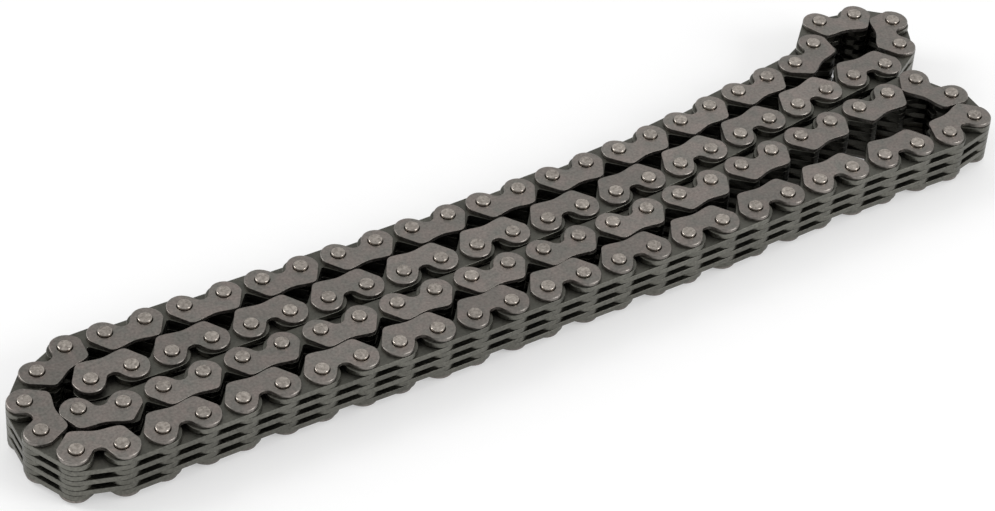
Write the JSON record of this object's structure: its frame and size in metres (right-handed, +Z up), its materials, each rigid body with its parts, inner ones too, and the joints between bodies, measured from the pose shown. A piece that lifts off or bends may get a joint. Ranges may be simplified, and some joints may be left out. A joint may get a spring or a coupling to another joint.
{
  "type": "timing chain",
  "caption": "Endless inverted-tooth timing chain of stacked toothed link plates, guide plates and riveted pins, folded double and lying on its side.",
  "frame": {"origin": "middle of the folded chain's box in plan, at the level of the pins' bottom ends that it rests on", "axes": "+X along the folded rows towards the two end loops, +Y from row 4 at the front to row 1 at the back, +Z up along the pins"},
  "size_m": [0.171, 0.0394, 0.0088],
  "materials": {
    "back_link_01": "dark oiled steel",
    "back_link_02": "dark oiled steel",
    "back_link_03": "dark oiled steel",
    "back_link_04": "dark oiled steel",
    "back_link_05": "dark oiled steel",
    "back_link_06": "dark oiled steel",
    "back_link_07": "dark oiled steel",
    "back_link_08": "dark oiled steel",
    "back_link_09": "dark oiled steel",
    "back_link_10": "dark oiled steel",
    "back_link_11": "dark oiled steel",
    "back_link_12": "dark oiled steel",
    "back_link_13": "dark oiled steel",
    "back_link_14": "dark oiled steel",
    "front_link_01": "dark oiled steel",
    "front_link_02": "dark oiled steel",
    "front_link_03": "dark oiled steel",
    "front_link_04": "dark oiled steel",
    "front_link_05": "dark oiled steel",
    "front_link_06": "dark oiled steel",
    "front_link_07": "dark oiled steel",
    "front_link_08": "dark oiled steel",
    "front_link_09": "dark oiled steel",
    "front_link_10": "dark oiled steel",
    "front_link_11": "dark oiled steel",
    "front_link_12": "dark oiled steel",
    "front_link_13": "dark oiled steel",
    "front_link_14": "dark oiled steel",
    "open_end_link": "dark oiled steel",
    "row_2_block_1": "dark oiled steel",
    "row_2_block_2": "dark oiled steel",
    "row_2_block_3": "dark oiled steel",
    "row_2_block_4": "dark oiled steel",
    "row_3_block_1": "dark oiled steel",
    "row_3_block_2": "dark oiled steel",
    "row_3_block_3": "dark oiled steel",
    "row_3_block_4": "dark oiled steel"
  },
  "bodies": {
    "row_2": {"row_2_block_1": "row_2_block_1", "row_2_block_2": "row_2_block_2", "row_2_block_3": "row_2_block_3", "row_2_block_4": "row_2_block_4"},
    "row_3": {"row_3_block_1": "row_3_block_1", "row_3_block_2": "row_3_block_2", "row_3_block_3": "row_3_block_3", "row_3_block_4": "row_3_block_4"},
    "back_link_01": {"back_link_01": "back_link_01"},
    "back_link_02": {"back_link_02": "back_link_02"},
    "back_link_03": {"back_link_03": "back_link_03"},
    "back_link_04": {"back_link_04": "back_link_04"},
    "back_link_05": {"back_link_05": "back_link_05"},
    "back_link_06": {"back_link_06": "back_link_06"},
    "back_link_07": {"back_link_07": "back_link_07"},
    "back_link_08": {"back_link_08": "back_link_08"},
    "back_link_09": {"back_link_09": "back_link_09"},
    "back_link_10": {"back_link_10": "back_link_10"},
    "back_link_11": {"back_link_11": "back_link_11"},
    "back_link_12": {"back_link_12": "back_link_12"},
    "back_link_13": {"back_link_13": "back_link_13"},
    "back_link_14": {"back_link_14": "back_link_14"},
    "open_end_link": {"open_end_link": "open_end_link"},
    "front_link_01": {"front_link_01": "front_link_01"},
    "front_link_02": {"front_link_02": "front_link_02"},
    "front_link_03": {"front_link_03": "front_link_03"},
    "front_link_04": {"front_link_04": "front_link_04"},
    "front_link_05": {"front_link_05": "front_link_05"},
    "front_link_06": {"front_link_06": "front_link_06"},
    "front_link_07": {"front_link_07": "front_link_07"},
    "front_link_08": {"front_link_08": "front_link_08"},
    "front_link_09": {"front_link_09": "front_link_09"},
    "front_link_10": {"front_link_10": "front_link_10"},
    "front_link_11": {"front_link_11": "front_link_11"},
    "front_link_12": {"front_link_12": "front_link_12"},
    "front_link_13": {"front_link_13": "front_link_13"},
    "front_link_14": {"front_link_14": "front_link_14"}
  },
  "joints": [
    {"name": "main_fold", "type": "hinge", "parent": "row_2", "child": "row_3", "pos_m": [-0.07613, -0.00341, 0], "axis": [0, 0, -1], "range_deg": [0, 7]},
    {"name": "back_link_01_pivot", "type": "hinge", "parent": "row_2", "child": "back_link_01", "pos_m": [0.07958, 0.00535, 0], "axis": [0, 0, -1], "range_deg": [0, 20]},
    {"name": "back_link_02_pivot", "type": "hinge", "parent": "back_link_01", "child": "back_link_02", "pos_m": [0.07808, 0.01537, 0], "axis": [0, 0, -1], "range_deg": [0, 20]},
    {"name": "back_link_03_pivot", "type": "hinge", "parent": "back_link_02", "child": "back_link_03", "pos_m": [0.06722, 0.01246, 0], "axis": [0, 0, -1], "range_deg": [0, 20]},
    {"name": "back_link_04_pivot", "type": "hinge", "parent": "back_link_03", "child": "back_link_04", "pos_m": [0.05511, 0.00915, 0], "axis": [0, 0, -1], "range_deg": [0, 20]},
    {"name": "back_link_05_pivot", "type": "hinge", "parent": "back_link_04", "child": "back_link_05", "pos_m": [0.04249, 0.00768, 0], "axis": [0, 0, -1], "range_deg": [0, 20]},
    {"name": "back_link_06_pivot", "type": "hinge", "parent": "back_link_05", "child": "back_link_06", "pos_m": [0.02986, 0.00636, 0], "axis": [0, 0, -1], "range_deg": [0, 20]},
    {"name": "back_link_07_pivot", "type": "hinge", "parent": "back_link_06", "child": "back_link_07", "pos_m": [0.01717, 0.00581, 0], "axis": [0, 0, -1], "range_deg": [0, 20]},
    {"name": "back_link_08_pivot", "type": "hinge", "parent": "back_link_07", "child": "back_link_08", "pos_m": [0.00447, 0.00585, 0], "axis": [0, 0, -1], "range_deg": [0, 20]},
    {"name": "back_link_09_pivot", "type": "hinge", "parent": "back_link_08", "child": "back_link_09", "pos_m": [-0.00822, 0.00604, 0], "axis": [0, 0, -1], "range_deg": [0, 20]},
    {"name": "back_link_10_pivot", "type": "hinge", "parent": "back_link_09", "child": "back_link_10", "pos_m": [-0.02092, 0.00643, 0], "axis": [0, 0, -1], "range_deg": [0, 20]},
    {"name": "back_link_11_pivot", "type": "hinge", "parent": "back_link_10", "child": "back_link_11", "pos_m": [-0.03361, 0.007, 0], "axis": [0, 0, -1], "range_deg": [0, 20]},
    {"name": "back_link_12_pivot", "type": "hinge", "parent": "back_link_11", "child": "back_link_12", "pos_m": [-0.04628, 0.00771, 0], "axis": [0, 0, -1], "range_deg": [0, 20]},
    {"name": "back_link_13_pivot", "type": "hinge", "parent": "back_link_12", "child": "back_link_13", "pos_m": [-0.05897, 0.0084, 0], "axis": [0, 0, -1], "range_deg": [0, 20]},
    {"name": "back_link_14_pivot", "type": "hinge", "parent": "back_link_13", "child": "back_link_14", "pos_m": [-0.07165, 0.00891, 0], "axis": [0, 0, -1], "range_deg": [0, 20]},
    {"name": "open_end_link_pivot", "type": "hinge", "parent": "back_link_14", "child": "open_end_link", "pos_m": [-0.08184, 0.00175, 0], "axis": [0, 0, -1], "range_deg": [0, 20]},
    {"name": "front_link_01_pivot", "type": "hinge", "parent": "row_3", "child": "front_link_01", "pos_m": [0.07574, -0.00341, 0], "axis": [0, 0, 1], "range_deg": [0, 20]},
    {"name": "front_link_02_pivot", "type": "hinge", "parent": "front_link_01", "child": "front_link_02", "pos_m": [0.07788, -0.01548, 0], "axis": [0, 0, 1], "range_deg": [0, 20]},
    {"name": "front_link_03_pivot", "type": "hinge", "parent": "front_link_02", "child": "front_link_03", "pos_m": [0.06532, -0.01642, 0], "axis": [0, 0, 1], "range_deg": [0, 20]},
    {"name": "front_link_04_pivot", "type": "hinge", "parent": "front_link_03", "child": "front_link_04", "pos_m": [0.05263, -0.01588, 0], "axis": [0, 0, 1], "range_deg": [0, 20]},
    {"name": "front_link_05_pivot", "type": "hinge", "parent": "front_link_04", "child": "front_link_05", "pos_m": [0.03993, -0.01585, 0], "axis": [0, 0, 1], "range_deg": [0, 20]},
    {"name": "front_link_06_pivot", "type": "hinge", "parent": "front_link_05", "child": "front_link_06", "pos_m": [0.02723, -0.01596, 0], "axis": [0, 0, 1], "range_deg": [0, 20]},
    {"name": "front_link_07_pivot", "type": "hinge", "parent": "front_link_06", "child": "front_link_07", "pos_m": [0.01454, -0.01571, 0], "axis": [0, 0, 1], "range_deg": [0, 20]},
    {"name": "front_link_08_pivot", "type": "hinge", "parent": "front_link_07", "child": "front_link_08", "pos_m": [0.00184, -0.01535, 0], "axis": [0, 0, 1], "range_deg": [0, 20]},
    {"name": "front_link_09_pivot", "type": "hinge", "parent": "front_link_08", "child": "front_link_09", "pos_m": [-0.01085, -0.01503, 0], "axis": [0, 0, 1], "range_deg": [0, 20]},
    {"name": "front_link_10_pivot", "type": "hinge", "parent": "front_link_09", "child": "front_link_10", "pos_m": [-0.02355, -0.01464, 0], "axis": [0, 0, 1], "range_deg": [0, 20]},
    {"name": "front_link_11_pivot", "type": "hinge", "parent": "front_link_10", "child": "front_link_11", "pos_m": [-0.03623, -0.01402, 0], "axis": [0, 0, 1], "range_deg": [0, 20]},
    {"name": "front_link_12_pivot", "type": "hinge", "parent": "front_link_11", "child": "front_link_12", "pos_m": [-0.04892, -0.01338, 0], "axis": [0, 0, 1], "range_deg": [0, 20]},
    {"name": "front_link_13_pivot", "type": "hinge", "parent": "front_link_12", "child": "front_link_13", "pos_m": [-0.06161, -0.01295, 0], "axis": [0, 0, 1], "range_deg": [0, 20]},
    {"name": "front_link_14_pivot", "type": "hinge", "parent": "front_link_13", "child": "front_link_14", "pos_m": [-0.0743, -0.01261, 0], "axis": [0, 0, 1], "range_deg": [0, 20]}
  ]
}
